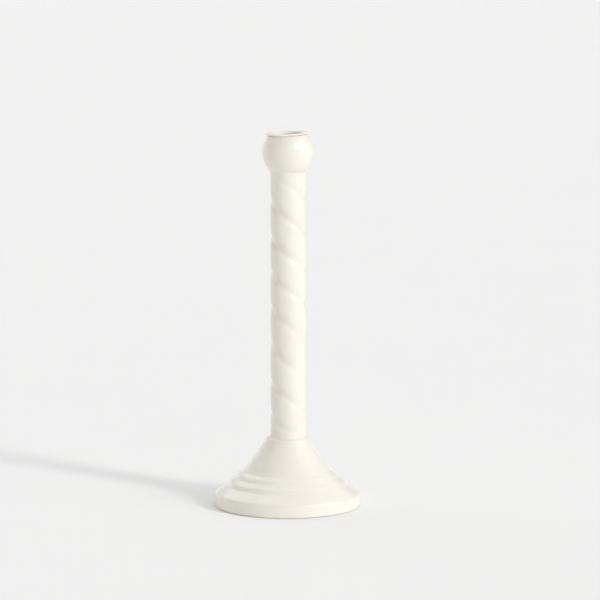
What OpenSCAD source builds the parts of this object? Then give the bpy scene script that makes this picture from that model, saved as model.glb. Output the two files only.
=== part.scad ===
// Wooden candlestick: a turned bell base, a stem carved with a two-start twist, and a
// ball-shaped candle cup that holds a loose flanged metal insert.
// All sizes are millimetres. +Z is up. The origin is the centre of the underside, on
// the surface that the candlestick stands on. The front of the object faces -Y.

/* [Overall] */

// Height from the table to the top face of the metal insert
total_h = 301; // [260:1:340]
// Widest diameter of the turned base
base_d = 118.4; // [110:0.2:130]
// Height of the ledge at the top of the base, where the stem starts
base_h = 55; // [50:0.5:62]

/* [Stem] */

// Diameter of the stem over the crests of the twist
stem_d = 28.4; // [26:0.2:32]
// Axial length of one full turn of one groove
twist_lead = 57; // [45:1:75]
// Number of grooves that wind round the stem
twist_starts = 2; // [1:1:3]
// How deep the grooves are cut below the crests
groove_depth = 1.5; // [0.8:0.1:2.2]
// Share of the groove spacing that one flank of the groove takes up
groove_flank = 0.24; // [0.15:0.01:0.4]
// Angle, about the axis, at which the first groove starts
twist_phase = 62; // [0:1:360]
// Plain turned length between the twist and the candle cup
plain_top = 15; // [8:1:25]
// Height of the small collar at the foot of the stem
collar_h = 4.5; // [2:0.5:8]

/* [Candle cup] */

// Diameter of the ball-shaped cup
ball_d = 40.8; // [38:0.2:46]
// Radial gap between the metal insert and the wooden socket
socket_gap = 0.3; // [0.2:0.05:0.5]

/* [Metal insert] */

// Diameter of the hole that takes the candle
candle_d = 24; // [22.5:0.1:25]
// Depth of the candle hole, from the top face to the floor
candle_depth = 19; // [16:0.5:20]
// Thickness of the wall and floor of the insert
insert_wall = 0.8; // [0.6:0.1:1]
// Diameter of the flange that rests on the ball
flange_d = 34.7; // [33:0.1:37]
// Thickness of the flange
flange_t = 1.3; // [1:0.1:1.6]

/* [Felt pad] */

// Diameter of the felt disc under the base
felt_d = 104; // [90:1:104]
// Thickness of the felt disc
felt_t = 2; // [1.6:0.1:3]
// How far the felt stands proud of the wooden rim
felt_proud = 0.5; // [0.2:0.1:1]

/* [Hidden] */

base_r = base_d / 2;
stem_r = stem_d / 2;
ball_r = ball_d / 2;
candle_r = candle_d / 2;
flange_r = flange_d / 2;

// Joint between the base and the stem: a round tenon in a blind mortise
tenon_r = 10;
tenon_l = 23.6;
mortise_l = 24;
ledge_z = base_h;

// Wood screw from underneath, through the base and up into the tenon
bore_r = 9.5;
washer_z = 12;
washer_r = 8;
washer_t = 1.2;
base_hole_r = 2.7;
base_screw_r = 2.4;
base_screw_l = 50;
base_head_r = 4.8;
base_head_h = 3.4;
base_pilot_r = 1.9;

// Ball-shaped cup: its top face, its flat foot and the two centres of its outline
cup_top = total_h - flange_t;
cup_foot = cup_top - 29.4;
ball_low_z = cup_foot + sqrt(ball_r * ball_r - stem_r * stem_r);
ball_high_z = ball_low_z + 1.6;

// Socket in the cup, and the short spigot that centres the cup on the stem
socket_r = candle_r + insert_wall + socket_gap;
insert_foot = total_h - candle_depth - insert_wall;
socket_floor = insert_foot - 0.2;
spigot_r = 9;
spigot_l = 4.6;
spigot_hole_l = 4.9;

// Countersunk wood screw down through the floor of the socket into the stem
cup_screw_r = 1.95;
cup_screw_l = 32;
cup_head_r = 3.7;
cup_head_h = 2.3;
cup_hole_r = 2.2;
cup_pilot_r = 1.5;

// Fineness of the twisted stem: points round it, and the spacing of its rings
stem_sides = 40;
ring_step = 3.6;

wood_paint = [0.93, 0.91, 0.86];
bare_wood = [0.74, 0.58, 0.4];
enamel = [0.95, 0.94, 0.9];
steel = [0.72, 0.72, 0.74];
felt_green = [0.22, 0.3, 0.22];

$fn = 96;

// Points along an arc of radius r about [cx, cz], from angle a0 to angle a1
function arc(cx, cz, r, a0, a1, n) =
    [for (i = [0:n]) let (a = a0 + (a1 - a0) * i / n) [cx + r * cos(a), cz + r * sin(a)]];

// A point on the outline of the base, in shares of its radius and of its height
function bp(u, v) = [base_r * u, base_h * v];

// A rolled edge of radius r on the outline of the base, about a point given the same way
function roll(u, v, r, a0, a1) = arc(base_r * u, base_h * v, r, a0, a1, 6);

// Outline of the base: foot, plinth band with a rolled shoulder, three low steps that
// climb the slope, and the cone up to the ledge round the stem
base_outline = concat(
    [[base_r * 0.993, felt_proud], bp(1, 0.03), bp(0.996, 0.15)],
    roll(0.945, 0.154, 3, 2, 52),
    [bp(0.806, 0.318), bp(0.803, 0.345)],
    roll(0.771, 0.348, 1.3, 2, 58),
    [bp(0.688, 0.429), bp(0.684, 0.455)],
    roll(0.653, 0.452, 1.3, 2, 60),
    [bp(0.581, 0.521), bp(0.571, 0.552)],
    [bp(0.541, 0.593), bp(0.461, 0.702), bp(0.411, 0.778), bp(0.363, 0.856)],
    [bp(0.324, 0.927), bp(0.299, 0.966), bp(0.281, 0.992)],
    [[base_r * 0.265, ledge_z], [0, ledge_z], [0, felt_proud]]
);

// Turned bell base: stepped block with a mortise on top and a screw bore underneath
module turned_base() {
    color(wood_paint)
    difference() {
        rotate_extrude() polygon(base_outline);
        // recess that the felt disc is glued into
        translate([0, 0, felt_proud - 1])
        cylinder(r = felt_d / 2 + 0.5, h = felt_t - felt_proud + 1);
        // counterbore for the washer and the screw head
        translate([0, 0, felt_t - 1])
        cylinder(r = bore_r, h = washer_z - felt_t + 1);
        // clearance hole for the screw
        cylinder(r = base_hole_r, h = base_h);
        // mortise for the tenon of the stem
        translate([0, 0, ledge_z - mortise_l])
        cylinder(r = tenon_r, h = mortise_l + 1);
    }
}

// How strongly the twist is cut at height z: it fades out at both plain ends
twist_z0 = ledge_z + collar_h;
twist_z1 = cup_foot - plain_top;
function fade(z) = min(1, max(0, (z - twist_z0) / 5), 1) * min(1, max(0, (twist_z1 - z) / 7));

// Share of the full groove depth at angle a and height z; the winding is left-handed
function groove(a, z) =
    let (p = twist_starts * ((a + twist_phase) / 360 + z / twist_lead))
    let (t = p - floor(p))
    let (d = min(t, 1 - t) / groove_flank)
    d >= 1 ? 0 : (1 - d) * (1 - d) * (1 + 0.6 * d);

// One closed ring of points at height z, with the twist cut into it by the share g
function stem_ring(r, z, g) =
    [for (j = [0:stem_sides - 1])
        let (a = 360 * j / stem_sides)
        let (q = r - groove_depth * g * groove(a, z))
        [q * cos(a), q * sin(a), z]];

twist_n = ceil((twist_z1 - twist_z0) / ring_step);
stem_foot = ledge_z - tenon_l;
stem_top = cup_foot + spigot_l;

// Rings of the stem in order: [radius, height, share of twist], from the end of the
// lower pilot hole, round the outside, to the end of the upper pilot hole
stem_rings = concat(
    [[base_pilot_r, stem_foot + 32, 0], [base_pilot_r, stem_foot, 0]],
    [[tenon_r - 1, stem_foot, 0], [tenon_r - 0.05, stem_foot + 1.2, 0], [tenon_r - 0.05, ledge_z, 0]],
    [[stem_r + 0.7, ledge_z, 0], [stem_r + 0.6, ledge_z + collar_h * 0.6, 0]],
    [for (i = [0:twist_n]) let (z = twist_z0 + (twist_z1 - twist_z0) * i / twist_n) [stem_r, z, fade(z)]],
    [[stem_r, cup_foot, 0], [spigot_r - 0.05, cup_foot, 0]],
    [[spigot_r - 0.05, stem_top - 0.8, 0], [spigot_r - 0.7, stem_top, 0]],
    [[cup_pilot_r, stem_top, 0], [cup_pilot_r, stem_top - 29, 0]]
);

// Two triangles for each cell between neighbouring rings, and a flat cap on each end
function cell(i, j) =
    let (k = (j + 1) % stem_sides)
    let (a = i * stem_sides + j, b = i * stem_sides + k)
    let (c = a + stem_sides, d = b + stem_sides)
    [[a, c, d], [a, d, b]];

// Stem: carved spindle with a tenon at the foot, a spigot on top and two pilot holes
module twisted_stem() {
    rings = len(stem_rings);
    last = (rings - 1) * stem_sides;
    color(wood_paint)
    polyhedron(
        points = [for (s = stem_rings) each stem_ring(s[0], s[1], s[2])],
        faces = concat(
            [[for (j = [0:stem_sides - 1]) j]],
            [for (i = [0:rings - 2]) for (j = [0:stem_sides - 1]) each cell(i, j)],
            [[for (j = [0:stem_sides - 1]) last + stem_sides - 1 - j]]
        ),
        convexity = 6
    );
}

// Outline of the ball-shaped cup, from its flat foot to its flat top
cup_outline = concat(
    [[0, cup_foot]],
    arc(0, ball_low_z, ball_r, -asin((ball_low_z - cup_foot) / ball_r), 0, 14),
    arc(0, ball_high_z, ball_r, 0, asin((cup_top - ball_high_z) / ball_r), 12),
    [[0, cup_top]]
);

// Ball-shaped cup: turned wood with a socket on top and a shallow mortise underneath
module ball_cup() {
    color(wood_paint)
    difference() {
        rotate_extrude() polygon(cup_outline);
        // socket for the metal insert
        translate([0, 0, socket_floor])
        cylinder(r = socket_r, h = cup_top - socket_floor + 1);
        // mortise for the spigot of the stem
        translate([0, 0, cup_foot - 1])
        cylinder(r = spigot_r, h = spigot_hole_l + 1);
        // clearance hole and countersink for the cup screw
        translate([0, 0, cup_foot])
        cylinder(r = cup_hole_r, h = socket_floor - cup_foot + 1);
        translate([0, 0, socket_floor - cup_head_h])
        cylinder(r1 = cup_hole_r + 0.1, r2 = cup_head_r + 0.5, h = cup_head_h);
    }
}

// Metal insert: thin pressed cup with a flange, loose in the socket so that it lifts out
module cup_insert() {
    out_r = candle_r + insert_wall;
    flange_z = cup_top;
    color(enamel)
    rotate_extrude()
    polygon(concat(
        [[0, insert_foot], [out_r - 1.2, insert_foot], [out_r - 0.35, insert_foot + 0.35], [out_r, insert_foot + 1.2]],
        [[out_r, flange_z], [flange_r - 0.4, flange_z]],
        [[flange_r, flange_z + 0.45], [flange_r, flange_z + flange_t - 0.5], [flange_r - 0.45, total_h]],
        [[candle_r + 0.4, total_h], [candle_r, total_h - 0.4]],
        [[candle_r, insert_foot + insert_wall + 0.5], [candle_r - 0.5, insert_foot + insert_wall]],
        [[0, insert_foot + insert_wall]]
    ));
}

// Screw threads as a row of sharp ridges between radius r0 and r1, from z0 to z1
function ridges(r0, r1, z0, z1, n) =
    [for (i = [0:n - 1]) let (p = (z1 - z0) / n, z = z0 + p * i)
        each [[r0, z], [r1, z + p * 0.5], [r0, z + p * 0.98]]];

// Pan-head wood screw with a straight driver slot, driven up from underneath
module base_screw() {
    head_z = washer_z - washer_t;
    tip_z = head_z + base_screw_l;
    color(steel)
    difference() {
        rotate_extrude()
        polygon(concat(
            [[0, head_z - base_head_h]],
            [[base_head_r * 0.6, head_z - base_head_h * 0.92], [base_head_r * 0.9, head_z - base_head_h * 0.6]],
            [[base_head_r, head_z - base_head_h * 0.2], [base_head_r, head_z], [base_screw_r, head_z]],
            [[base_screw_r, head_z + 18]],
            ridges(1.6, base_screw_r, head_z + 18.2, tip_z - 5, 11),
            [[1.5, tip_z - 5], [0, tip_z]]
        ));
        translate([-base_head_r - 1, -0.6, head_z - base_head_h - 1])
        cube([base_head_r * 2 + 2, 1.2, 2.4]);
    }
}

// Steel washer between the screw head and the roof of the counterbore
module base_washer() {
    color(steel)
    translate([0, 0, washer_z - washer_t])
    difference() {
        cylinder(r = washer_r, h = washer_t);
        translate([0, 0, -1])
        cylinder(r = base_hole_r, h = washer_t + 2);
    }
}

// Countersunk wood screw that holds the cup, hidden under the metal insert
module cup_screw() {
    head_z = socket_floor - 0.1;
    tip_z = socket_floor - cup_screw_l;
    color(steel)
    difference() {
        rotate_extrude()
        polygon(concat(
            [[0, tip_z], [1.2, tip_z + 4]],
            ridges(1.3, cup_screw_r, tip_z + 4.2, head_z - 10, 9),
            [[cup_screw_r, head_z - 9.8], [cup_screw_r, head_z - cup_head_h]],
            [[cup_head_r, head_z - 0.3], [cup_head_r, head_z], [0, head_z]]
        ));
        translate([-cup_head_r - 1, -0.5, head_z - 1])
        cube([cup_head_r * 2 + 2, 1, 2]);
    }
}

// Felt disc glued into the recess, so that the candlestick doesn't scratch the table
module felt_pad() {
    color(felt_green)
    cylinder(r = felt_d / 2, h = felt_t);
}

turned_base();
twisted_stem();
ball_cup();
cup_insert();
base_screw();
base_washer();
cup_screw();
felt_pad();
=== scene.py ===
"""Wooden candlestick: the painted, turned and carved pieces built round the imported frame.

Lengths are in millimetres until skin() writes a mesh in metres. Angle 0 is +X, to the right.
"""

import math

import bmesh
import bpy
import numpy as np
from mathutils import Matrix, Vector


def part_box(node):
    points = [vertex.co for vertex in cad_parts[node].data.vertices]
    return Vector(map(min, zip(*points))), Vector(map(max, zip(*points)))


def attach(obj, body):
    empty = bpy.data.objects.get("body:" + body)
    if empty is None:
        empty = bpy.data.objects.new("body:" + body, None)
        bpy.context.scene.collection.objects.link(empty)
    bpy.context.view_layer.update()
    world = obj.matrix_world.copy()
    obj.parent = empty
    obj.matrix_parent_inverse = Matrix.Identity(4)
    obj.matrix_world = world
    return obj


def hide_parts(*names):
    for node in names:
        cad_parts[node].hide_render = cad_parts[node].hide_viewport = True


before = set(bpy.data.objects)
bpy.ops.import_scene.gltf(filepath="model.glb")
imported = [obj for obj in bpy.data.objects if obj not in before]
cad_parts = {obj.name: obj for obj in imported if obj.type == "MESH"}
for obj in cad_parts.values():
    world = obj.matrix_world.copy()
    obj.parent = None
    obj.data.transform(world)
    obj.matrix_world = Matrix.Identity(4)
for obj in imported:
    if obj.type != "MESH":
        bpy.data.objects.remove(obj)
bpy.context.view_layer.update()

MM = 0.001
SLIVER = 1e-6  # in metres, well below the smallest real edge


def node_box(node):
    """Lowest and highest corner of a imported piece, in millimetres."""
    low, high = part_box(node)
    return [v / MM for v in low], [v / MM for v in high]


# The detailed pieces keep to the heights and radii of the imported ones
BASE_LOW, BASE_HIGH = node_box("turned_base")
BALL_LOW, BALL_HIGH = node_box("ball_cup")
INSERT_LOW, INSERT_HIGH = node_box("cup_insert")
STEM_LOW, STEM_HIGH = node_box("twisted_stem")
SCREW_LOW, SCREW_HIGH = node_box("base_screw")
WASHER_LOW, WASHER_HIGH = node_box("base_washer")
CUP_SCREW_LOW, CUP_SCREW_HIGH = node_box("cup_screw")
FELT_HIGH = node_box("felt_pad")[1]

LEDGE_Z = BASE_HIGH[2]
FOOT_Z = BALL_LOW[2]
RIM_Z = BALL_HIGH[2]


# ---------------------------------------------------------------- sections

def rounded(corners, steps=7):
    """Corners (radius, height, ease) of an open section, with each eased corner rolled over."""
    out = []
    last = len(corners) - 1
    for i, (x, y, ease) in enumerate(corners):
        if ease == 0 or i in (0, last):
            out.append((x, y))
            continue
        p = np.array([x, y], float)
        a = np.array(corners[i - 1][:2], float) - p
        b = np.array(corners[i + 1][:2], float) - p
        la, lb = np.linalg.norm(a), np.linalg.norm(b)
        a, b = a / la, b / lb
        half = math.acos(max(-1, min(1, float(a @ b)))) / 2
        run = min(ease / max(math.tan(half), 1e-3), 0.49 * la, 0.49 * lb)
        start, end = p + a * run, p + b * run
        for k in range(steps + 1):
            t = k / steps
            q = (1 - t) ** 2 * start + 2 * t * (1 - t) * p + t * t * end
            out.append((float(q[0]), float(q[1])))
    return out


def dense(section, step):
    """The same open section with no stretch longer than step."""
    out = []
    for (x0, y0), (x1, y1) in zip(section, section[1:]):
        n = max(1, math.ceil(math.hypot(x1 - x0, y1 - y0) / step))
        out += [(x0 + (x1 - x0) * k / n, y0 + (y1 - y0) * k / n) for k in range(n)]
    out.append(section[-1])
    keep = [out[0]]
    for p in out[1:]:
        if math.hypot(p[0] - keep[-1][0], p[1] - keep[-1][1]) > 1e-4:
            keep.append(p)
    return keep


def hollows(section, reach=1.3):
    """How much each point lies in a hollow corner, 0 to 1. The solid is on the section's left."""
    p = np.array(section, float)
    d = np.diff(p, axis=0)
    length = np.linalg.norm(d, axis=1)
    along = np.concatenate([[0], np.cumsum(length)])
    heading = np.unwrap(np.arctan2(d[:, 1], d[:, 0]))
    turn = np.zeros(len(p))
    turn[1:-1] = np.diff(heading)
    near = np.exp(-(((along[:, None] - along[None, :]) / reach) ** 2))
    return np.clip(-(near @ turn) * 1.1, 0, 1)


# ---------------------------------------------------------------- meshes

def skin(name, rings, loop=False, painted_shade=None):
    """A closed mesh through rings of points (ring, point, xyz) in millimetres."""
    m, n, _ = rings.shape
    verts = rings.reshape(-1, 3) * MM
    faces = []
    j = np.arange(n)
    k = (j + 1) % n
    for i in range(m if loop else m - 1):
        a, b = i * n, ((i + 1) % m) * n
        faces.append(np.stack([a + j, a + k, b + k, b + j], 1))
    faces = [tuple(int(v) for v in f) for f in np.concatenate(faces)]
    verts = verts.tolist()
    if not loop:
        for i in (0, m - 1):
            verts.append((rings[i].mean(0) * MM).tolist())
            c = len(verts) - 1
            faces += [(i * n + int(a), i * n + int(b), c) for a, b in zip(j, k)]
    mesh = bpy.data.meshes.new(name)
    mesh.from_pydata(verts, [], faces)
    # The painted shade mask, 0 to 1, kept on the mesh for the paint material
    if painted_shade is not None:
        values = np.zeros(len(verts), np.float32)
        values[: m * n] = painted_shade.reshape(-1)
        mesh.attributes.new("painted_shade", "FLOAT", "POINT").data.foreach_set("value", values)
    bm = bmesh.new()
    bm.from_mesh(mesh)
    bmesh.ops.recalc_face_normals(bm, faces=bm.faces)
    bm.to_mesh(mesh)
    bm.free()
    finish_mesh(mesh)
    obj = bpy.data.objects.new(name, mesh)
    bpy.context.scene.collection.objects.link(obj)
    return obj


def finish_mesh(mesh, angle=38):
    """Smooth shading with the true corners kept sharp."""
    mesh.polygons.foreach_set("use_smooth", [True] * len(mesh.polygons))
    mesh.set_sharp_from_angle(angle=math.radians(angle))
    mesh.update()


def turned(section, sides, shape=None):
    """Rings of a turned piece: the section spun round +Z. shape(radius, angle, height) bends it."""
    p = np.array(section, float)
    angle = np.arange(sides) * 2 * math.pi / sides
    r, a = np.meshgrid(p[:, 0], angle, indexing="ij")
    z = np.repeat(p[:, 1][:, None], sides, 1)
    if shape is None:
        return np.stack([r * np.cos(a), r * np.sin(a), z], 2)
    return shape(r, a, z)


def wobble(a, z, size, seed):
    """Slow unevenness of a hand-worked surface, a few waves round and a few along."""
    rng = np.random.default_rng(seed)
    total = np.zeros_like(a)
    for m in (1, 2, 3, 4, 5, 7):
        phase, drift = rng.uniform(0, 2 * math.pi), rng.uniform(-0.16, 0.16)
        total += np.cos(m * a + drift * z + phase) / m**0.7
    return total * size / 2.2


def cut(obj, cutter_rings):
    """Takes a closed shape out of obj, and clears the slivers that the cut leaves."""
    tool = skin("cutter", cutter_rings)
    mod = obj.modifiers.new("cut", "BOOLEAN")
    mod.operation = "DIFFERENCE"
    mod.solver = "EXACT"
    mod.object = tool
    bpy.context.view_layer.update()
    done = bpy.data.meshes.new_from_object(obj.evaluated_get(bpy.context.evaluated_depsgraph_get()))
    obj.modifiers.clear()
    bm = bmesh.new()
    bm.from_mesh(done)
    bmesh.ops.remove_doubles(bm, verts=bm.verts, dist=SLIVER)
    bmesh.ops.triangulate(bm, faces=[face for face in bm.faces if len(face.verts) > 4])
    bmesh.ops.dissolve_degenerate(bm, dist=SLIVER, edges=bm.edges)
    bm.to_mesh(done)
    bm.free()
    obj.data = done
    finish_mesh(obj.data)
    bpy.data.objects.remove(tool)
    return obj


def block(low, high):
    """Rings of a plain box, for cutting a driver slot."""
    (x0, y0, z0), (x1, y1, z1) = low, high
    ring = [(x0, y0), (x1, y0), (x1, y1), (x0, y1)]
    return np.array([[(x, y, z) for x, y in ring] for z in (z0, z1)], float)


def smooth(t):
    """0 to 1 with soft ends, for t from 0 to 1."""
    t = np.clip(t, 0, 1)
    return t * t * (3 - 2 * t)


# ---------------------------------------------------------------- turned base

FLOOR_GAP = BASE_LOW[2]
RECESS_Z = FELT_HIGH[2]
RECESS_R = FELT_HIGH[0] + 0.5
BORE_R, BORE_Z = 9.5, WASHER_HIGH[2]
HOLE_R = 2.7
MORTISE_R, MORTISE_Z = 10.0, LEDGE_Z - 24.0
BASE_SIDES = 208

# From the bottom edge in to the ledge that the stem stands on: (radius, height, ease)
base_outside = rounded(
    [
        (RECESS_R + 1.5, FLOOR_GAP, 0),
        (57.4, FLOOR_GAP, 0.5),
        (58.75, 0.2, 0.3),
        (59.1, 1.3, 0.7),
        (58.95, 10.4, 3.9),
        (48.9, 16.8, 4.2),
        (46.4, 20.1, 3.2),
        (42.0, 22.8, 4.2),
        (39.3, 25.9, 3.2),
        (35.6, 28.1, 4.2),
        (33.3, 30.9, 3.2),
        (31.9, 32.9, 4.0),
        (26.9, 39.4, 6.0),
        (21.9, 46.4, 6.0),
        (18.3, 52.2, 2.5),
        (16.85, LEDGE_Z - 0.05, 1.3),
        (14.6, LEDGE_Z, 0),
    ]
)
base_section = (
    dense(
        [(HOLE_R, MORTISE_Z), (HOLE_R, BORE_Z), (BORE_R, BORE_Z), (BORE_R, RECESS_Z + 0.5)]
        + [(BORE_R + 0.5, RECESS_Z), (RECESS_R, RECESS_Z), (RECESS_R, FLOOR_GAP + 0.6)]
        + [(RECESS_R + 0.6, FLOOR_GAP)],
        3.0,
    )
    + dense(base_outside, 0.9)
    + dense([(MORTISE_R, LEDGE_Z), (MORTISE_R, MORTISE_Z), (HOLE_R + 0.3, MORTISE_Z)], 3.0)
)


def base_shape(r, a, z):
    """A turned block with a slightly uneven painted skin. The ledge and the bottom stay true."""
    true_ends = smooth((z - FLOOR_GAP) / 3) * smooth((LEDGE_Z - 1 - z) / 5)
    skin_share = smooth((r - 13.5) / 3) * true_ends
    q = r + skin_share * wobble(a, z, 0.16, 3)
    lift = skin_share * wobble(a, r * 0.6, 0.14, 11)
    return np.stack([q * np.cos(a), q * np.sin(a), z + lift], 2)


base_rings = turned(base_section, BASE_SIDES, base_shape)
# Painted shade in the hollow corners of the base's section
base_painted_shade = np.repeat(0.4 * hollows(base_section)[:, None], BASE_SIDES, 1)
base = skin("base_painted", base_rings, loop=True, painted_shade=base_painted_shade)


# ---------------------------------------------------------------- twisted stem

STEM_R = 14.25
OFF_CENTRE = 0.55
TENON_R = 9.95
SPIGOT_R = 8.95
GROOVE_DEPTH = 1.3
CROWN = 0.2
STEM_SIDES = 176

# Reach of a groove's two flanks, as shares of the spacing, and how rounded its bottom is
UPPER_FLANK = 0.24
LOWER_FLANK = 0.165
GROOVE_ROUND = 0.22

# The twist runs out in plain wood: (height, length of the run-out) at the foot and at the top
FOOT_RUN_OUT = (57.5, 8)
TOP_RUN_OUT = (269, 19)

# Heights at which a groove passes the left of the stem: the carver's spacing isn't even
GROOVE_MARKS = [18.0, 46.6, 75.3, 100.6, 132.0, 161.8, 189.1, 218.1, 246.7, 275.0, 303.0]


def turns(z):
    """How many grooves have passed the left of the stem below height z, smoothly in between."""
    x = np.array(GROOVE_MARKS)
    y = np.arange(len(x)) - 2.0
    slope = np.gradient(y, x)
    i = np.clip(np.searchsorted(x, z) - 1, 0, len(x) - 2)
    h = x[i + 1] - x[i]
    t = (z - x[i]) / h
    return (
        (2 * t**3 - 3 * t**2 + 1) * y[i]
        + (t**3 - 2 * t**2 + t) * h * slope[i]
        + (-2 * t**3 + 3 * t**2) * y[i + 1]
        + (t**3 - t**2) * h * slope[i + 1]
    )


def groove_share(a, z):
    """1 at the bottom of a groove and 0 on the crests. Two grooves wind up to the left."""
    p = 2 * a / (2 * math.pi) + turns(z)
    away = p - np.round(p)
    d = np.abs(away)
    flank = np.where(away > 0, UPPER_FLANK, LOWER_FLANK)
    u = np.clip(np.hypot(d / flank, GROOVE_ROUND) - GROOVE_ROUND, 0, 1)
    return (1 - u) ** 2 * (1 + 0.7 * u), d


def carving(a, z):
    """Depth of the carving: full at the left and top, shallower at the right and near the foot."""
    return (0.77 - 0.3 * np.cos(a + 0.4)) * (0.76 + 0.32 * smooth((z - 90) / 170))


# The rounded top edge of the base, which the paint round the stem's foot lies on
EDGE_R, EDGE_Z = np.array([p for p in base_outside if p[1] > LEDGE_Z - 5][::-1]).T


def run_out(z):
    """1 where the twist is full, fading to 0 at both ends of the stem."""
    foot = smooth((z - FOOT_RUN_OUT[0]) / FOOT_RUN_OUT[1])
    return foot * smooth((TOP_RUN_OUT[0] - z) / TOP_RUN_OUT[1])


def stem_shape(r, a, z):
    """The carved spindle, with paint banked up round its foot at the front and right."""
    share, d = groove_share(a, z)
    depth = GROOVE_DEPTH * carving(a, z) * (1 + 0.08 * np.sin(z * 0.11 + a))
    outside = smooth((r - 11.5) / 2)
    crown = CROWN * (1 - 2 * d) ** 2
    q = r - outside * run_out(z) * (depth * share + crown) + outside * wobble(a, z, 0.09, 5)
    above = np.clip(z - LEDGE_Z, 0, None)
    bank = smooth(0.5 + 0.62 * np.cos(a + 0.5))
    q = q + outside * bank * (0.45 * np.exp(-above) + 0.3 * np.exp(-above / 3))
    x, y = q * np.cos(a) + OFF_CENTRE * outside, q * np.sin(a)
    seat = np.interp(np.hypot(x, y), EDGE_R, EDGE_Z)
    return np.stack([x, y, z - outside * (LEDGE_Z - seat) * np.exp(-above / 0.6)], 2)


stem_body = rounded(
    [
        (11.0, LEDGE_Z + 0.03, 0),
        (16.1, LEDGE_Z + 0.03, 0.02),
        (15.9, LEDGE_Z + 0.12, 0.05),
        (15.0, LEDGE_Z + 0.5, 0.8),
        (14.5, LEDGE_Z + 1.4, 1.0),
        (14.3, LEDGE_Z + 4.0, 1.8),
        (STEM_R - 0.05, LEDGE_Z + 12, 3),
        (STEM_R, FOOT_Z - 2.8, 1.6),
        (STEM_R + 0.42, FOOT_Z - 0.03, 0.05),
        (SPIGOT_R + 1.5, FOOT_Z - 0.03, 0),
    ]
)
stem_section = (
    dense([(1.9, STEM_LOW[2] + 32), (1.9, STEM_LOW[2]), (TENON_R - 1, STEM_LOW[2])], 4.0)
    + dense([(TENON_R, STEM_LOW[2] + 1.1), (TENON_R, LEDGE_Z + 0.03)], 4.0)
    + dense(stem_body, 0.62)
    + dense([(SPIGOT_R, FOOT_Z - 0.03), (SPIGOT_R, STEM_HIGH[2] - 0.7)], 2.0)
    + dense([(SPIGOT_R - 0.6, STEM_HIGH[2]), (1.5, STEM_HIGH[2]), (1.5, STEM_HIGH[2] - 29)], 4.0)
)
stem_rings = turned(stem_section, STEM_SIDES, stem_shape)
stem_heights = np.array(stem_section)[:, 1]
around = np.arange(STEM_SIDES) * 2 * math.pi / STEM_SIDES
grid_z, grid_a = np.meshgrid(stem_heights, around, indexing="ij")
# Painted shade in the grooves, stronger where the carving is deeper, and in the crease where the
# stem meets the base
groove_shade = 0.45 * carving(grid_a, grid_z) * groove_share(grid_a, grid_z)[0] * run_out(grid_z)
foot_shade = 0.12 * np.exp(-(((grid_z - LEDGE_Z) / 0.8) ** 2))
stem = skin("stem_painted", stem_rings, painted_shade=np.maximum(groove_shade, foot_shade))


# ---------------------------------------------------------------- ball-shaped cup

BALL_R = BALL_HIGH[0]
BALL_SIDES = 160
SOCKET_R = 13.1
SOCKET_Z = INSERT_LOW[2] - 0.2
LOW_CENTRE = FOOT_Z + math.sqrt(BALL_R**2 - 14.2**2)
HIGH_CENTRE = LOW_CENTRE + 1.6
TOP_R = math.sqrt(BALL_R**2 - (RIM_Z - HIGH_CENTRE) ** 2)
LEAN = math.tan(math.radians(1.7))


def ball_arc(centre, z0, z1, n):
    """Arc of the ball's outline from height z0 to z1, in n stretches."""
    a0, a1 = math.asin((z0 - centre) / BALL_R), math.asin((z1 - centre) / BALL_R)
    steps = [a0 + (a1 - a0) * i / n for i in range(n + 1)]
    return [(BALL_R * math.cos(t), centre + BALL_R * math.sin(t)) for t in steps]


ball_outside = (
    rounded(
        [
            (SPIGOT_R + 1.5, FOOT_Z, 0),
            (STEM_R + 0.43, FOOT_Z, 0.05),
            (STEM_R + 0.75, FOOT_Z + 0.8, 0.9),
            ball_arc(LOW_CENTRE, FOOT_Z + 2.2, LOW_CENTRE, 1)[0] + (0,),
        ]
    )
    + ball_arc(LOW_CENTRE, FOOT_Z + 2.4, LOW_CENTRE, 26)
    + ball_arc(HIGH_CENTRE, HIGH_CENTRE, RIM_Z - 1.4, 22)
    + rounded(
        [(TOP_R + 1.15, RIM_Z - 1.2, 0), (TOP_R + 0.45, RIM_Z - 0.05, 0.9), (TOP_R - 1.2, RIM_Z, 0)]
    )
    + rounded([(SOCKET_R + 0.6, RIM_Z, 0), (SOCKET_R, RIM_Z - 0.3, 0.3), (SOCKET_R, RIM_Z - 2, 0)])
)
ball_section = (
    dense([(2.2, SOCKET_Z - 2.3), (2.2, FOOT_Z + 4.9), (9.0, FOOT_Z + 4.9), (9.0, FOOT_Z)], 2.0)
    + dense(ball_outside, 0.9)
    + dense([(SOCKET_R, SOCKET_Z), (4.1, SOCKET_Z), (2.3, SOCKET_Z - 2.2)], 2.0)
)


def ball_shape(r, a, z):
    """A hand-turned ball: a little fuller above the middle, with its top leaning to the left."""
    outside = smooth((r - 14.0) / 2.5) * smooth((RIM_Z + 0.5 - z) / 3)
    fuller = 0.3 * np.exp(-(((z - RIM_Z + 8.5) / 5) ** 2))
    q = r + outside * (wobble(a, z, 0.11, 8) + fuller)
    drift = OFF_CENTRE * outside
    upper = smooth((z - FOOT_Z - 6) / 14) * smooth((r - SOCKET_R + 0.1) / 0.5)
    low_left = 0.5 * smooth((z - RIM_Z + 3) / 3) * smooth(-0.2 - np.cos(a + 0.5))
    lift = upper * (LEAN * r * np.cos(a) - low_left)
    return np.stack([q * np.cos(a) + drift, q * np.sin(a), z + lift], 2)


ball_rings = turned(ball_section, BALL_SIDES, ball_shape)
# Painted shade in the hollow corners of the cup's section
ball_painted_shade = np.repeat(0.25 * hollows(ball_section)[:, None], BALL_SIDES, 1)
ball = skin("cup_painted", ball_rings, loop=True, painted_shade=ball_painted_shade)


# ---------------------------------------------------------------- metal insert

CANDLE_R = 12.0
WALL = 0.8
FLANGE_R = INSERT_HIGH[0]
INSERT_Z = INSERT_LOW[2]
TOP_Z = INSERT_HIGH[2]

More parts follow.
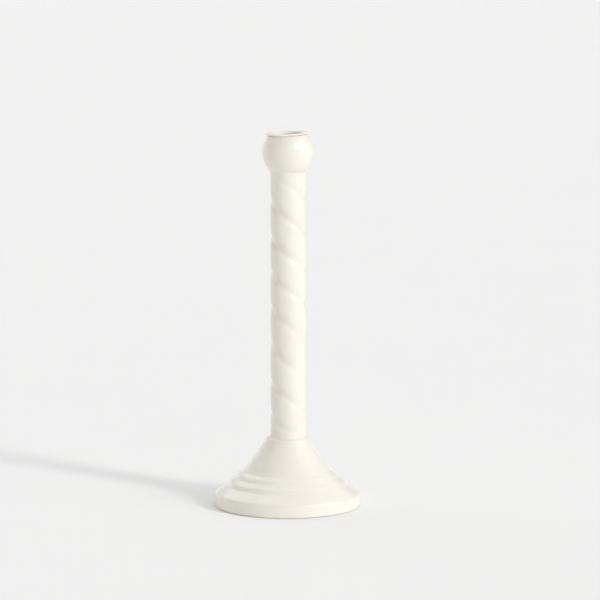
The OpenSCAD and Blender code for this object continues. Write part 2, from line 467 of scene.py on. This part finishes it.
insert_section = dense(
    rounded(
        [
            (0.6, INSERT_Z, 0),
            (CANDLE_R + WALL, INSERT_Z, 1.6),
            (CANDLE_R + WALL, RIM_Z + 0.12, 0.5),
            (FLANGE_R - 0.25, RIM_Z + 0.1, 0.35),
            (FLANGE_R - 0.05, TOP_Z - 0.35, 0.5),
            (FLANGE_R - 1.4, TOP_Z - 0.02, 0.8),
            (CANDLE_R + 0.9, TOP_Z, 0.7),
            (CANDLE_R, TOP_Z - 1.5, 0.9),
            (CANDLE_R, INSERT_Z + WALL, 1.2),
            (0.6, INSERT_Z + WALL, 0),
        ]
    ),
    0.8,
)


def insert_shape(r, a, z):
    """Thin pressed metal: the flange is a little out of flat."""
    out = smooth((r - CANDLE_R - 1) / 4)
    lift = out * (0.14 * np.cos(2 * a + 0.9) + 0.07 * np.cos(3 * a + 2.0))
    q = r + 0.08 * out * np.cos(2 * a - 0.5)
    return np.stack([q * np.cos(a), q * np.sin(a), z + lift], 2)


insert = skin("insert_flanged", turned(insert_section, 144, insert_shape))

# The insert sits a little askew, down to the left like the rim that it rests on
INSERT_LEAN = math.radians(1.5)
INSERT_RAISE = 0.12
pivot = Vector((0, 0, (RIM_Z - 9) * MM))
askew = Matrix.Rotation(-INSERT_LEAN, 4, "Y")
raised = Matrix.Translation((0, 0, INSERT_RAISE * MM))
insert.data.transform(raised @ Matrix.Translation(pivot) @ askew @ Matrix.Translation(-pivot))


# ---------------------------------------------------------------- screws and washer

def screw(name, head, z_head, z_tip, core, crest, pitch, thread_from, sides=48, rows=14):
    """Wood screw: the head's section, then a shank whose thread winds from thread_from to the tip.

    core and crest are the thread's inner and outer radius, and rows is how finely a turn is cut.
    """
    way = 1 if z_tip > z_head else -1
    length = abs(z_tip - z_head)
    n = int(length / pitch * rows)
    run = np.linspace(0, length, n + 1)
    shank = [(crest * 0.98, z_head + way * s) for s in run]
    section = dense(head, 0.5) + shank
    p = np.array(section, float)
    a = np.repeat((np.arange(sides) * 2 * math.pi / sides)[None, :], len(p), 0)
    r = np.repeat(p[:, 0][:, None], sides, 1)
    z = np.repeat(p[:, 1][:, None], sides, 1)
    s = way * (z - z_head)
    turn = s / pitch - way * a / (2 * math.pi)
    ridge = 1 - np.abs(2 * (turn - np.floor(turn)) - 1)
    taper = np.clip((length - s) / (length * 0.16), 0.05, 1)
    starts = smooth((s - thread_from) / pitch)
    thread = core + (crest - core) * ridge**1.6
    on_shank = np.arange(len(p))[:, None] >= len(p) - len(shank)
    q = np.where(on_shank, ((1 - starts) * r + starts * thread) * taper, r)
    return skin(name, np.stack([q * np.cos(a), q * np.sin(a), z], 2))


seat_z = WASHER_LOW[2]
pan_head = rounded(
    [
        (0.4, SCREW_LOW[2], 0),
        (3.4, SCREW_LOW[2], 2.2),
        (4.8, seat_z - 0.9, 0.8),
        (4.75, seat_z, 0),
        (2.6, seat_z, 0),
    ]
)
base_screw = screw(
    "screw_under_base",
    pan_head,
    z_head=seat_z + 0.02,
    z_tip=SCREW_HIGH[2],
    core=1.65,
    crest=2.4,
    pitch=2.4,
    thread_from=18,
)
cut(base_screw, block((-6, -0.6, SCREW_LOW[2] - 1), (6, 0.6, SCREW_LOW[2] + 1.4)))

head_z = CUP_SCREW_HIGH[2]
flat_head = rounded(
    [(0.4, head_z, 0), (3.7, head_z, 0.25), (3.6, head_z - 0.35, 0.2), (1.97, head_z - 2.25, 0)]
)
cup_screw = screw(
    "screw_in_cup",
    flat_head,
    z_head=head_z - 2.3,
    z_tip=CUP_SCREW_LOW[2],
    core=1.3,
    crest=1.95,
    pitch=1.9,
    thread_from=7,
)
cut(cup_screw, block((-5, -0.5, head_z - 1), (5, 0.5, head_z + 1)))

WASHER_R = 8.0
washer_section = rounded(
    [
        (HOLE_R + 0.4, WASHER_LOW[2], 0),
        (WASHER_R, WASHER_LOW[2], 0.3),
        (WASHER_R, WASHER_HIGH[2], 0.3),
        (HOLE_R, WASHER_HIGH[2], 0.15),
        (HOLE_R, WASHER_LOW[2], 0.15),
        (HOLE_R + 0.4, WASHER_LOW[2], 0),
    ]
)[:-1]
washer = skin("washer_under_base", turned(dense(washer_section, 0.7), 72), loop=True)


# ---------------------------------------------------------------- felt disc

FELT_R, FELT_TOP = FELT_HIGH[0], FELT_HIGH[2]
felt_section = dense(
    rounded([(0.8, 0, 0), (FELT_R - 0.1, 0.0, 0.5), (FELT_R, FELT_TOP, 0.2), (0.8, FELT_TOP, 0)]),
    0.7,
)


def felt_shape(r, a, z):
    """Cut by hand with a ragged edge; the underside is slightly uneven."""
    rng = np.random.default_rng(21)
    rough = rng.normal(0, 0.05, r.shape)
    edge = smooth((r - FELT_R + 3) / 3)
    q = r + edge * (rough - 0.22 + 0.12 * np.cos(9 * a) * np.cos(4 * a + 1))
    below = (z < 0.4) & (r < FELT_R - 0.8)
    up = np.where(below, 0.03 + np.abs(rough) * 0.5, 0)
    return np.stack([q * np.cos(a), q * np.sin(a), z + up], 2)


felt = skin("felt_disc", turned(felt_section, 240, felt_shape))


# ---------------------------------------------------------------- materials

class Material:
    """A node material written top down: each call adds one node and returns an output."""

    def __init__(self, name):
        self.material = bpy.data.materials.new(name)
        self.material.use_nodes = True
        self.tree = self.material.node_tree
        self.tree.nodes.clear()
        self.place = 0

    def add(self, kind, out=0, settings=None, **inputs):
        node = self.tree.nodes.new(kind)
        self.place += 1
        node.location = (self.place * 180, -(self.place % 5) * 160)
        for key, value in (settings or {}).items():
            setattr(node, key, value)
        for key, value in inputs.items():
            self.feed(node, key, value)
        return node.outputs[out]

    def feed(self, node, key, value):
        """Sets or links an input: i0, i1 ... by number, any other by name with _ for a space."""
        numbered = key[0] == "i" and key[1:].isdigit()
        socket = node.inputs[int(key[1:]) if numbered else key.replace("_", " ")]
        if isinstance(value, bpy.types.NodeSocket):
            self.tree.links.new(value, socket)
        else:
            socket.default_value = value

    def math(self, operation, a, b=0.0, clamp=False):
        settings = {"operation": operation, "use_clamp": clamp}
        return self.add("ShaderNodeMath", settings=settings, i0=a, i1=b)

    def noise(self, vector, scale, detail=3.0, rough=0.5):
        inputs = {"Vector": vector, "Scale": scale, "Detail": detail, "Roughness": rough}
        return self.add("ShaderNodeTexNoise", **inputs)

    def span(self, value, low, high, to_low=0.0, to_high=1.0):
        """The value's place between low and high, held to to_low ... to_high."""
        inputs = {"From_Min": low, "From_Max": high, "To_Min": to_low, "To_Max": to_high}
        return self.add("ShaderNodeMapRange", Value=value, **inputs)

    def mix(self, share, a, b):
        node = self.tree.nodes.new("ShaderNodeMix")
        node.data_type = "RGBA"
        node.location = (self.place * 180, 300)
        for socket, value in ((node.inputs[0], share), (node.inputs[6], a), (node.inputs[7], b)):
            if isinstance(value, bpy.types.NodeSocket):
                self.tree.links.new(value, socket)
            else:
                socket.default_value = value
        return node.outputs[2]

    def bump(self, height, depth, after=None):
        inputs = {"Height": height, "Distance": depth, "Strength": 1.0}
        if after is not None:
            inputs["Normal"] = after
        return self.add("ShaderNodeBump", **inputs)

    def stretched(self, vector, x, y, z):
        return self.add("ShaderNodeMapping", Vector=vector, Scale=(x, y, z))

    def finish(self, *objects, **inputs):
        node = self.tree.nodes.new("ShaderNodeBsdfPrincipled")
        for key, value in inputs.items():
            self.feed(node, key, value)
        end = self.tree.nodes.new("ShaderNodeOutputMaterial")
        self.tree.links.new(node.outputs[0], end.inputs[0])
        for obj in objects:
            obj.data.materials.clear()
            obj.data.materials.append(self.material)
        return self.material


# Colours are linear. Lengths inside the materials are in metres.
CREAM = (0.850, 0.825, 0.750, 1)
CREAM_WARM = (0.825, 0.785, 0.695, 1)
# Painted shade: the darker, warmer cream laid into hollows, grooves and the stem's foot
CREAM_SHADED = (0.745, 0.690, 0.570, 1)
LACQUER = (0.85, 0.83, 0.75, 1)
LACQUER_WARM = (0.82, 0.785, 0.69, 1)
# Warmer, darker tones that the socket's inside takes deeper down
SOCKET_TONE = (0.88, 0.83, 0.74, 1)
SOCKET_TONE_DARK = (0.83, 0.75, 0.65, 1)
ZINC = (0.62, 0.61, 0.57, 1)
ZINC_DULL = (0.45, 0.44, 0.41, 1)
FELT_DARK = (0.018, 0.040, 0.024, 1)
FELT_LIGHT = (0.070, 0.110, 0.068, 1)
FELT_WORN = (0.10, 0.13, 0.09, 1)

# Outputs of the coordinate, attribute and length nodes that are read by number
OBJECT_PLACE, ATTRIBUTE_VALUE, LENGTH_VALUE = 3, 2, 1


def cream_paint(name, obj, grain, rings, coat_roughness):
    """Glossy brushed cream paint over wood, with painted shade: a darker, warmer cream in hollows,
    grooves and at the stem's foot.

    grain and rings are the noise scales of the brush strokes and of the turning marks.
    """
    m = Material(name)
    place = m.add("ShaderNodeTexCoord", out=OBJECT_PLACE)
    clouds = m.noise(place, 38, 4, 0.6)
    specks = m.noise(place, 900, 2, 0.6)
    painted_shade = m.add(
        "ShaderNodeAttribute", out=ATTRIBUTE_VALUE, settings={"attribute_name": "painted_shade"}
    )
    tone = m.mix(m.span(clouds, 0.35, 0.75), CREAM, CREAM_WARM)
    tone = m.mix(m.span(specks, 0.68, 0.80, 0, 0.35), tone, CREAM_WARM)
    # Painted shade: a darker, warmer cream wherever the mesh's shade mask is set, a little uneven
    shade_share = m.math("MULTIPLY", painted_shade, m.span(clouds, 0.2, 0.8, 0.25, 0.6), clamp=True)
    tone = m.mix(shade_share, tone, CREAM_SHADED)

    strokes = m.noise(m.stretched(place, *grain), 1.0, 4, 0.6)
    turning = m.noise(m.stretched(place, *rings), 1.0, 2, 0.5)
    peel = m.noise(place, 330, 2, 0.5)
    surface = m.bump(strokes, 0.00016)
    surface = m.bump(turning, 0.00009, surface)
    surface = m.bump(peel, 0.00005, surface)
    gloss = m.span(m.noise(place, 70, 3, 0.6), 0.3, 0.7, 0.30, 0.40)
    return m.finish(
        obj,
        Base_Color=tone,
        Roughness=gloss,
        IOR=1.48,
        Coat_Weight=0.8,
        Coat_Roughness=coat_roughness,
        Coat_IOR=1.5,
        Normal=surface,
    )


cream_paint("paint_on_base", base, (140, 140, 30), (16, 16, 520), 0.13)
cream_paint("paint_on_stem", stem, (210, 210, 26), (60, 60, 240), 0.07)
cream_paint("paint_on_cup", ball, (150, 150, 40), (16, 16, 520), 0.04)


def insert_finish(obj):
    """Cream lacquer on pressed metal, turning warmer, darker, rougher and a little more metallic
    deeper inside the socket.
    """
    m = Material("lacquered_insert")
    place = m.add("ShaderNodeTexCoord", out=OBJECT_PLACE)
    parts = m.tree.nodes.new("ShaderNodeSeparateXYZ")
    m.tree.links.new(place, parts.inputs[0])
    radius = m.add(
        "ShaderNodeVectorMath",
        out=LENGTH_VALUE,
        settings={"operation": "LENGTH"},
        i0=m.stretched(place, 1, 1, 0),
    )
    ragged = m.noise(place, 260, 4, 0.6)
    depth = m.math("SUBTRACT", TOP_Z * MM, parts.outputs[2])
    inside = m.span(radius, (CANDLE_R + 0.35) * MM, (CANDLE_R + 0.05) * MM)
    below = m.span(m.math("ADD", depth, m.math("MULTIPLY", ragged, 0.0012)), 0.0010, 0.0060)
    # From about 1 to 6 mm down inside the socket the lacquer turns warmer and darker
    deep_in_socket = m.math("MULTIPLY", inside, below, clamp=True)
    socket_tone = m.mix(m.span(ragged, 0.3, 0.7), SOCKET_TONE, SOCKET_TONE_DARK)
    tone = m.mix(m.span(m.noise(place, 120, 3), 0.35, 0.7), LACQUER, LACQUER_WARM)
    tone = m.mix(deep_in_socket, tone, socket_tone)
    surface = m.bump(m.noise(place, 300, 3, 0.55), 0.00006)
    return m.finish(
        obj,
        Base_Color=tone,
        Roughness=m.span(deep_in_socket, 0, 1, 0.34, 0.5),
        Metallic=m.span(deep_in_socket, 0, 1, 0.0, 0.1),
        Coat_Weight=0.25,
        Coat_Roughness=0.2,
        Normal=surface,
    )


insert_finish(insert)


def plated_steel(name, *objects):
    """Dull zinc plating, blotched and drawn along its length."""
    m = Material(name)
    place = m.add("ShaderNodeTexCoord", out=OBJECT_PLACE)
    blotch = m.noise(place, 420, 4, 0.6)
    tone = m.mix(m.span(blotch, 0.35, 0.7), ZINC, ZINC_DULL)
    surface = m.bump(m.noise(m.stretched(place, 900, 900, 260), 1.0, 3), 0.00003)
    return m.finish(
        *objects,
        Base_Color=tone,
        Metallic=1.0,
        Roughness=m.span(blotch, 0.3, 0.7, 0.28, 0.46),
        Normal=surface,
    )


plated_steel("zinc_screws", base_screw, cup_screw)
plated_steel("zinc_washer", washer)


def felt_finish(obj):
    """Dark green wool felt: a fine tangle of fibres, paler where it has rubbed."""
    m = Material("wool_felt")
    place = m.add("ShaderNodeTexCoord", out=OBJECT_PLACE)
    tangle = m.noise(place, 1400, 6, 0.75)
    drift = m.noise(place, 90, 3, 0.6)
    tone = m.mix(m.span(tangle, 0.3, 0.7), FELT_DARK, FELT_LIGHT)
    tone = m.mix(m.span(drift, 0.4, 0.7, 0, 0.4), tone, FELT_WORN)
    return m.finish(
        obj,
        Base_Color=tone,
        Roughness=0.95,
        Sheen_Weight=0.25,
        Sheen_Roughness=0.5,
        Normal=m.bump(tangle, 0.0004),
    )


felt_finish(felt)


# ---------------------------------------------------------------- who rides on what

PIECES = [
    (base, "candlestick", "turned_base", "painted_base"),
    (stem, "candlestick", "twisted_stem", "painted_stem"),
    (ball, "candlestick", "ball_cup", "painted_cup"),
    (insert, "insert", "cup_insert", "insert_enamel"),
    (base_screw, "candlestick", "base_screw", "screw_steel"),
    (washer, "candlestick", "base_washer", "washer_steel"),
    (cup_screw, "candlestick", "cup_screw", "screw_steel"),
    (felt, "candlestick", "felt_pad", "felt"),
]
for piece, body, node, slot in PIECES:
    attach(piece, body)
    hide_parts(node)


# ---------------------------------------------------------------- floor, light and camera

def round_floor(flat=12.0, bend=4.0, sides=96):
    """Pale round floor, in metres, that curves up into a low backdrop all the way round."""
    line = [(2.0 * k, 0.0) for k in range(6)]
    for t in np.linspace(0, math.pi / 2, 20):
        line.append((flat + bend * math.sin(t), bend - bend * math.cos(t)))
    verts = [(0.0, 0.0, 0.0)]
    faces = [(0, 1 + k, 1 + (k + 1) % sides) for k in range(sides)]
    round_it = np.arange(sides) * 2 * math.pi / sides
    for r, z in line[1:]:
        verts += [(r * math.cos(t), r * math.sin(t), z) for t in round_it]
    for i in range(len(line) - 2):
        a, b = 1 + i * sides, 1 + (i + 1) * sides
        faces += [(a + k, b + k, b + (k + 1) % sides, a + (k + 1) % sides) for k in range(sides)]
    mesh = bpy.data.meshes.new("floor")
    mesh.from_pydata(verts, [], faces)
    mesh.polygons.foreach_set("use_smooth", [True] * len(mesh.polygons))
    obj = bpy.data.objects.new("floor", mesh)
    bpy.context.scene.collection.objects.link(obj)
    m = Material("pale_floor")
    place = m.add("ShaderNodeTexCoord", out=OBJECT_PLACE)
    tone = m.mix(m.noise(place, 3, 2), FLOOR_GREY, FLOOR_PALE)
    m.finish(obj, Base_Color=tone, Roughness=0.9, Specular_IOR_Level=0.1)
    return obj


FLOOR_GREY = (0.90, 0.90, 0.90, 1)
FLOOR_PALE = (0.915, 0.915, 0.915, 1)

round_floor()


def soft_light(name, azimuth, elevation, strength, spread, colour=(1, 1, 1)):
    """Even light from far off, spread degrees wide. Azimuth 0 is in front, 90 to the right."""
    data = bpy.data.lights.new(name, "SUN")
    data.energy = strength
    data.angle = math.radians(spread)
    data.color = colour
    obj = bpy.data.objects.new(name, data)
    a, e = math.radians(azimuth), math.radians(elevation)
    way = Vector((math.sin(a) * math.cos(e), -math.cos(a) * math.cos(e), math.sin(e)))
    obj.location = way * 3
    obj.rotation_euler = way.to_track_quat("Z", "Y").to_euler()
    bpy.context.scene.collection.objects.link(obj)
    return obj


KEY_COLOUR = (1.0, 0.99, 0.975)
SIDE_COLOUR = (1.0, 0.995, 0.985)

soft_light("key_upper", 51, 28, 0.62, 9, KEY_COLOUR)
soft_light("key_lower", 51, 19, 0.58, 9, KEY_COLOUR)
soft_light("side", 66, 18, 0.955, 50, SIDE_COLOUR)
soft_light("front", 22, 10, 0.41, 50)
soft_light("left_edge", -132, 26, 0.37, 56)
soft_light("ceiling", 180, 66, 0.92, 84)

world = bpy.data.worlds.new("studio")
world.use_nodes = True
world.node_tree.nodes["Background"].inputs[0].default_value = (1, 1, 1, 1)
world.node_tree.nodes["Background"].inputs[1].default_value = 0.37
bpy.context.scene.world = world
bpy.context.scene.view_settings.view_transform = "Standard"

# A long lens in front, a little above the object's top and looking slightly down
CAMERA_PLACE = (0.0101, -2.88, 0.602)
LOOK_DOWN = 8.6

camera_data = bpy.data.cameras.new("camera")
camera_data.sensor_width = 36
camera_data.lens = 218.2
camera_data.clip_start, camera_data.clip_end = 0.1, 30
camera = bpy.data.objects.new("camera", camera_data)
camera.location = CAMERA_PLACE
camera.rotation_euler = (math.radians(90 - LOOK_DOWN), 0, 0)
bpy.context.scene.collection.objects.link(camera)
bpy.context.scene.camera = camera
